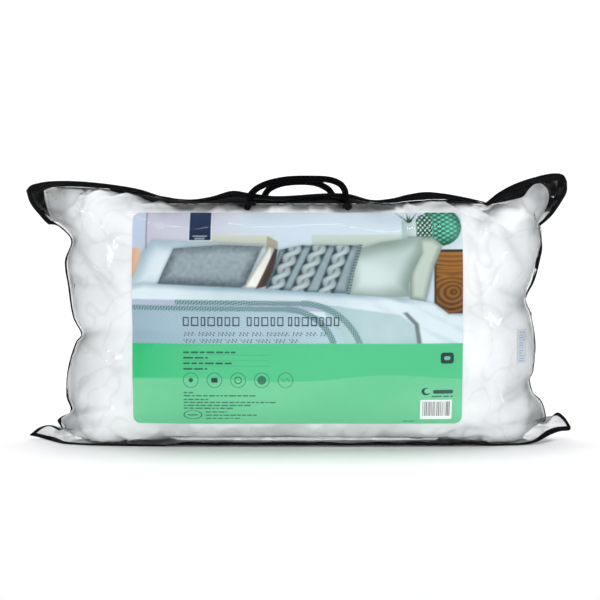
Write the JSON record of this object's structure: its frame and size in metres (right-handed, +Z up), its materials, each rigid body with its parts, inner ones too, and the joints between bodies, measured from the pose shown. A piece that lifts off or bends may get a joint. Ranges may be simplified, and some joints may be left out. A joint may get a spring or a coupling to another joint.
{
  "type": "bed pillow",
  "caption": "White fibre-filled bed pillow in a clear zipped carry bag with black bound seams, twin cord handles and a printed insert card.",
  "frame": {"origin": "under the middle of the bag, on the plane it stands on", "axes": "+X to the right seen from the front, -Y towards the front with the card, +Z up"},
  "size_m": [0.79, 0.2046, 0.387],
  "materials": {
    "filling": "lofty white polyester fibre",
    "cotton": "white plain-woven cotton",
    "satin_piping": "white satin piping with a soft sheen",
    "label_tape": "white woven label tape",
    "card": "coated printed card, satin",
    "film": "clear flexible vinyl film, glossy and wrinkled",
    "binding": "black stitched bias binding",
    "gusset": "black spun-bonded non-woven cloth, dull",
    "zip_tape": "black woven zip tape",
    "zip_coil": "black nylon coil",
    "zip_metal": "black enamelled zinc",
    "cord": "black woven cord"
  },
  "bodies": {
    "bag": {"fibre_fill": "filling", "cover_front": "cotton", "cover_back": "cotton", "cover_piping": "satin_piping", "care_label": "label_tape", "insert_card": "card", "film_front": "film", "film_back": "film", "binding_perimeter": "binding", "binding_back_top": "binding", "gusset_front": "gusset", "gusset_back": "gusset", "zip_tape_front": "zip_tape", "zip_tape_back": "zip_tape", "zip_coil_front": "zip_coil", "zip_coil_back": "zip_coil", "zip_stop_left": "zip_metal", "zip_stop_right": "zip_metal", "handle_patch_front_left": "binding", "handle_patch_front_right": "binding", "handle_patch_back_left": "binding", "handle_patch_back_right": "binding"},
    "slider": {"zip_slider": "zip_metal"},
    "pull": {"zip_pull": "zip_metal"},
    "front_handle": {"handle_front": "cord"},
    "back_handle": {"handle_back": "cord"}
  },
  "joints": [
    {"name": "zip_slide", "type": "slide", "parent": "bag", "child": "slider", "axis": [-1, 0, 0], "range_m": [0, 0.465]},
    {"name": "pull_flip", "type": "hinge", "parent": "slider", "child": "pull", "pos_m": [0.2325, 0, 0.3459], "axis": [0, 1, 0], "range_deg": [0, 180]},
    {"name": "front_handle_fold", "type": "hinge", "parent": "bag", "child": "front_handle", "pos_m": [0, -0.0325, 0.3523], "axis": [1, 0, 0], "range_deg": [0, 112]},
    {"name": "back_handle_fold", "type": "hinge", "parent": "bag", "child": "back_handle", "pos_m": [0, 0.0325, 0.3503], "axis": [1, 0, 0], "range_deg": [-75, 36]}
  ]
}
